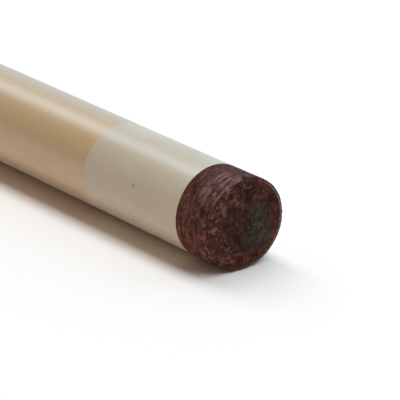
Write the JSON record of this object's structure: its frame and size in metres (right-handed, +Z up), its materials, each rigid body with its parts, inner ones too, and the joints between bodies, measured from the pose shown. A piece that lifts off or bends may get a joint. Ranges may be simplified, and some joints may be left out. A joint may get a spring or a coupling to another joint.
{
  "type": "billiard cue",
  "caption": "Two-piece billiard cue with a worn leather tip, a pale ferrule, a maple shaft and a screw joint to a wrapped butt with a rubber bumper.",
  "frame": {"origin": "centre of the bumper's flat end face, the end from which a cue's length is measured", "axes": "+X along the cue's axis towards the leather tip, +Z up, with the cue lying level"},
  "size_m": [1.4732, 0.0296, 0.0296],
  "materials": {
    "tip_leather": "matte",
    "ferrule_resin": "satin",
    "shaft_maple": "satin",
    "ring_metal": "polished",
    "collar_black": "gloss",
    "insert_brass": "satin",
    "pin_steel": "satin",
    "collar_steel": "satin",
    "forearm_maple": "gloss",
    "point_ebony": "gloss",
    "point_veneer": "gloss",
    "core_maple": "matte",
    "wrap_linen": "matte",
    "sleeve_rosewood": "gloss",
    "bumper_rubber": "matte"
  },
  "bodies": {
    "shaft": {"leather_tip": "tip_leather", "ferrule": "ferrule_resin", "shaft": "shaft_maple", "shaft_ring": "ring_metal", "shaft_collar": "collar_black", "joint_insert": "insert_brass"},
    "joint_ring": {"joint_ring": "ring_metal"},
    "butt": {"joint_pin": "pin_steel", "butt_collar": "collar_steel", "forearm": "forearm_maple", "forearm_points": "point_ebony", "point_veneers": "point_veneer", "forearm_ring": "ring_metal", "handle_stud": "pin_steel", "handle_core": "core_maple", "linen_wrap": "wrap_linen", "sleeve_ring": "ring_metal", "butt_sleeve": "sleeve_rosewood", "cap_ring": "ring_metal", "butt_cap": "collar_black", "weight_bolt": "pin_steel", "bumper": "bumper_rubber"}
  },
  "joints": [
    {"name": "butt_backs_off", "type": "slide", "parent": "shaft", "child": "joint_ring", "axis": [-1, 0, 0], "range_m": [0, 0.02794]},
    {"name": "butt_unscrews", "type": "hinge", "parent": "joint_ring", "child": "butt", "pos_m": [0.7366, 0, 0], "axis": [-1, 0, 0], "range_deg": [0, 3960]}
  ],
  "couplings": [
    {"joint": "butt_backs_off", "follows": "butt_unscrews", "m_per_rad": 0.00040425}
  ]
}
